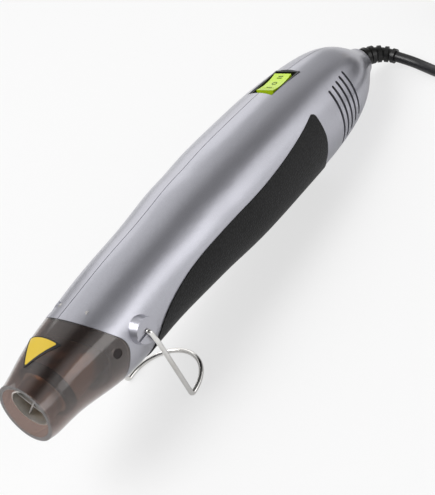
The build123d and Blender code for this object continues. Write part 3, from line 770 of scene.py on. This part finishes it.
@dataclass
class Cord:
    """The lead: from the strain relief over the surface into a tied coil in layers, and on to the plug.

    Its radius and length are in metres, and every other size is in millimetres, as in the part's source.
    """

    radius: float = 2.5 * MM
    length: float = 1.6243
    inner_reach: float = 17.0
    edge_step: float = 3.66
    pitch: float = 5.45
    layers: int = 4
    half_turns: int = 4
    plug_lift: float = 25.65
    tail_bend: float = 20.5
    tail_run: float = 5.0
    points_per_half: int = 8
    round_steps: int = 5
    curve_order: int = 3
    curve_steps: int = 6
    coil_centre: Point = (188.907, -37.288, 3.5)
    route: tuple[Point, ...] = (
        (125.382, -12.168, 6.897), (125.163, -19.772, 4.420), (122.577, -28.888, 2.645),
        (118.892, -37.743, 2.55), (119.717, -49.238, 2.55), (125.877, -59.908, 2.55),
        (136.822, -65.903, 2.55), (153.707, -67.333, 2.835), (171.307, -67.058, 3.5))

    def reaches(self) -> list[float]:
        """Distances from the coil's middle at which the half turns of a layer start.

        Returns:
            The distances, from the inside out.
        """
        steps = [self.inner_reach, self.inner_reach + self.edge_step]
        while len(steps) < self.half_turns:
            steps.append(steps[-1] + self.pitch / 2)
        return steps + [steps[-1] + self.edge_step]

    def stops(self) -> list[Span]:
        """Where each half turn starts, and where the last one ends.

        Returns:
            The reach and the height of each.
        """
        found = []
        for layer in range(self.layers):
            order = self.reaches() if layer % 2 else self.reaches()[::-1]
            found += [(reach, layer * self.pitch) for reach in order]
        return found + [(self.reaches()[-1], self.plug_lift)]

    def swell(self) -> float:
        """How far control points lie outside the circle that the curve keeps."""
        return 1 / math.cos(math.pi / self.points_per_half / 2)

    def half_turn(self, count: int, start: Span, end: Span) -> list[Vector]:
        """Points of one half turn, on a circle between its two ends, without the last.

        Args:
            count: Number of the half turn: even ones start on the -Y side.
            start: Reach and height where it starts.
            end: Reach and height where it ends.

        Returns:
            Its points, pushed out so that the curve keeps the circle.
        """
        side = 1 if count % 2 else -1
        middle = Vector((0, side * (start[0] - end[0]) / 2, (start[1] + end[1]) / 2))
        across = (start[0] + end[0]) / 2
        rise = (end[1] - start[1]) / 2
        points = []
        for step in range(self.points_per_half):
            angle = math.pi * (step + 0.5) / self.points_per_half
            around = Vector((-side * math.hypot(across, rise) * math.sin(angle),
                             side * across * math.cos(angle), -rise * math.cos(angle)))
            points.append(middle + around * self.swell())
        return points

    def tail(self) -> list[Vector]:
        """Points of the quarter turn and the short straight run from the coil's end to the plug.

        Returns:
            The points.
        """
        start = Vector((0, -self.stops()[-1][0] + self.tail_bend, self.plug_lift))
        points = []
        for step in range(self.points_per_half // 2):
            angle = math.pi * (step + 0.5) / self.points_per_half
            around = Vector((math.sin(angle), -math.cos(angle), 0)) * self.tail_bend * self.swell()
            points.append(start + around)
        return points + [start + Vector((self.tail_bend, self.tail_run, 0))]

    def points(self) -> list[Vector]:
        """Every control point of the cord.

        Returns:
            The points, in millimetres.
        """
        centre = Vector(self.coil_centre)
        stops = self.stops()
        half_step = stops[0][0] * math.tan(math.pi / self.points_per_half / 2)
        turns = [Vector((-half_step, -stops[0][0], 0))]
        for count, (start, end) in enumerate(zip(stops[:-1], stops[1:])):
            turns += self.half_turn(count, start, end)
        return [Vector(point) for point in self.route] + [centre + turn for turn in turns + self.tail()]

    def curve(self) -> bpy.types.Curve:
        """The cord's curve with its round section.

        Returns:
            The curve's data.
        """
        data = bpy.data.curves.new("cord", "CURVE")
        data.dimensions = "3D"
        data.bevel_depth = self.radius
        data.bevel_resolution = self.round_steps
        data.use_fill_caps = True
        spline = data.splines.new("NURBS")
        points = self.points()
        spline.points.add(len(points) - 1)
        for knot, point in zip(spline.points, points):
            knot.co = (*(point * MM), 1.0)
        spline.order_u = self.curve_order
        spline.use_endpoint_u = True
        spline.resolution_u = self.curve_steps
        log.info("cord: %d points", len(points))
        return data

    def build(self, finisher: Finisher) -> bpy.types.Object:
        """Make the cord as one smooth curve.

        Args:
            finisher: Holder of the finishes.

        Returns:
            The curve.
        """
        data = self.curve()
        data.materials.append(finisher.made["cord"])
        piece = add_object("cord", data)
        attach(piece, "tool")
        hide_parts("cord_lead", "cord_coil")
        return piece


@dataclass(frozen=True)
class Lamp:
    """A square soft lamp: its place and its side in metres, and its power in watts."""

    name: str
    place: Point
    side: float
    power: float

    def hang(self, target: Point) -> None:
        """Add the lamp to the scene.

        Args:
            target: The place that it points at, in metres.
        """
        data = bpy.data.lights.new(self.name, "AREA")
        data.size = self.side
        data.energy = self.power
        lamp = add_object(self.name, data)
        lamp.rotation_euler = (Vector(target) - Vector(self.place)).to_track_quat("-Z", "Y").to_euler()
        lamp.location = self.place


@dataclass
class Studio:
    """Pale floor, soft light and the camera at the photograph's angle.

    The camera's place is in millimetres. The sky's levels go from the horizon to straight overhead, and the
    first one also holds below the horizon. The strips' levels go across the tool, from -Y to +Y, and a dark
    strip between two bright ones draws a soft band along the housing.
    """

    camera_place: Point = (-279.16, -358.81, 346.86)
    camera_right: Point = (0.50314, -0.75616, -0.41841)
    camera_up: Point = (0.71814, 0.0965, 0.68917)
    focal_pixels: float = 1321.3
    sensor_mm: float = 36.0
    clip: Span = (0.01, 20.0)
    floor_reach: float = 6.0
    floor_colour: Colour = (0.86, 0.86, 0.86)
    floor_roughness: float = 0.8
    floor_glow: float = 0.68
    floor_mirrored: float = 0.3
    sky: Steps = ((0.0, 0.5), (0.3, 0.5), (0.75, 0.9), (1.0, 1.0))
    strips: Steps = (
        (0.0, 1.6), (0.08, 1.6), (0.15, 0.5), (0.21, 0.08), (0.34, 0.1), (0.5, 0.95), (0.7, 1.25), (1.0, 0.9))
    backdrop: float = 1.36
    strength: float = 0.72
    target: Point = (0, 0, 0.03)
    lamps: tuple[Lamp, ...] = (
        Lamp("key", (-0.5, 0.3, 1.1), 0.7, 9.0),
        Lamp("fill", (0.70, -0.92, 0.26), 0.5, 0.9),
        Lamp("rim", (0.75, 0.75, 0.5), 0.8, 1.8),
        Lamp("gleam", (0.18, -0.95, 0.14), 0.5, 1.4),
        Lamp("tail", (1.0, -0.58, 0.14), 0.5, 0.8))

    def camera(self) -> None:
        """Set the camera where the photograph was taken from."""
        data = bpy.data.cameras.new("camera")
        data.sensor_fit = "HORIZONTAL"
        data.sensor_width = self.sensor_mm
        data.lens = self.focal_pixels * self.sensor_mm / IMAGE_WIDTH
        data.clip_start, data.clip_end = self.clip
        right = Vector(self.camera_right).normalized()
        up = Vector(self.camera_up).normalized()
        back = right.cross(up).normalized()
        up = back.cross(right)
        turn = Matrix((right, up, back)).transposed().to_4x4()
        camera = add_object("camera", data)
        camera.matrix_world = Matrix.Translation(Vector(self.camera_place) * MM) @ turn
        bpy.context.scene.camera = camera

    def floor_finish(self) -> bpy.types.Material:
        """A pale finish that glows where it is seen, in part, so that the tool's shadow stays on it.

        Returns:
            The material.
        """
        graph = Graph("floor")
        graph.set(Base_Color=(*self.floor_colour, 1), Roughness=self.floor_roughness)
        path = graph.add("ShaderNodeLightPath").outputs
        seen = graph.maths("MAXIMUM", path["Is Camera Ray"], path["Is Transmission Ray"])
        mirrored = graph.maths("MULTIPLY", path["Is Glossy Ray"], self.floor_mirrored)
        glow = graph.add("ShaderNodeEmission", Color=(1, 1, 1, 1), Strength=1.0)
        mix = graph.add("ShaderNodeMixShader")
        graph.join(graph.maths("MULTIPLY_ADD", seen, self.floor_glow, mirrored), mix.inputs["Fac"])
        graph.join(graph.shader.outputs["BSDF"], mix.inputs[1])
        graph.join(glow.outputs["Emission"], mix.inputs[2])
        graph.join(mix.outputs["Shader"], graph.output.inputs["Surface"])
        return graph.material

    def floor(self) -> None:
        """Lay the floor."""
        mesh = bmesh.new()
        bmesh.ops.create_grid(mesh, x_segments=1, y_segments=1, size=self.floor_reach)
        data = mesh_data("floor", mesh)
        floor = add_object("floor", data)
        data.materials.append(self.floor_finish())

    def world(self) -> None:
        """Surroundings that light the tool, plain and pale where the camera sees them."""
        world = bpy.data.worlds.new("studio")
        bpy.context.scene.world = world
        world.use_nodes = True
        nodes = Nodes(world.node_tree)
        parts = nodes.add("ShaderNodeSeparateXYZ")
        nodes.join(nodes.add("ShaderNodeTexCoord").outputs["Generated"], parts.inputs["Vector"])
        lit = nodes.add("ShaderNodeMix", data_type="RGBA", blend_type="MULTIPLY")
        lit.inputs["Factor"].default_value = 1.0
        nodes.join(nodes.levels(parts.outputs["Z"], self.sky), lit.inputs["A"])
        across = nodes.spread(parts.outputs["Y"], UNIT, (-1.0, 1.0))
        nodes.join(nodes.levels(across, self.strips), lit.inputs["B"])
        seen = nodes.add("ShaderNodeMix", data_type="RGBA")
        seen.inputs["B"].default_value = (self.backdrop, self.backdrop, self.backdrop, 1)
        path = nodes.add("ShaderNodeLightPath")
        nodes.join(path.outputs["Is Camera Ray"], seen.inputs["Factor"])
        nodes.join(lit.outputs["Result"], seen.inputs["A"])
        background = world.node_tree.nodes["Background"]
        background.inputs["Strength"].default_value = self.strength
        nodes.join(seen.outputs["Result"], background.inputs["Color"])

    def build(self) -> None:
        """Set up the camera, the floor, the surroundings and the lamps."""
        self.camera()
        self.floor()
        self.world()
        for lamp in self.lamps:
            lamp.hang(self.target)
        bpy.context.scene.view_settings.view_transform = "Standard"


def main() -> None:
    """Dress the tool, build its extra pieces and set up the studio."""
    logging.basicConfig(level=logging.INFO, format="%(message)s")
    finisher = Finisher()
    finisher.dress_nodes()
    ConePlate().build()
    RockerMarks().build()
    Cord().build(finisher)
    Studio().build()


if __name__ == "__main__":
    main()
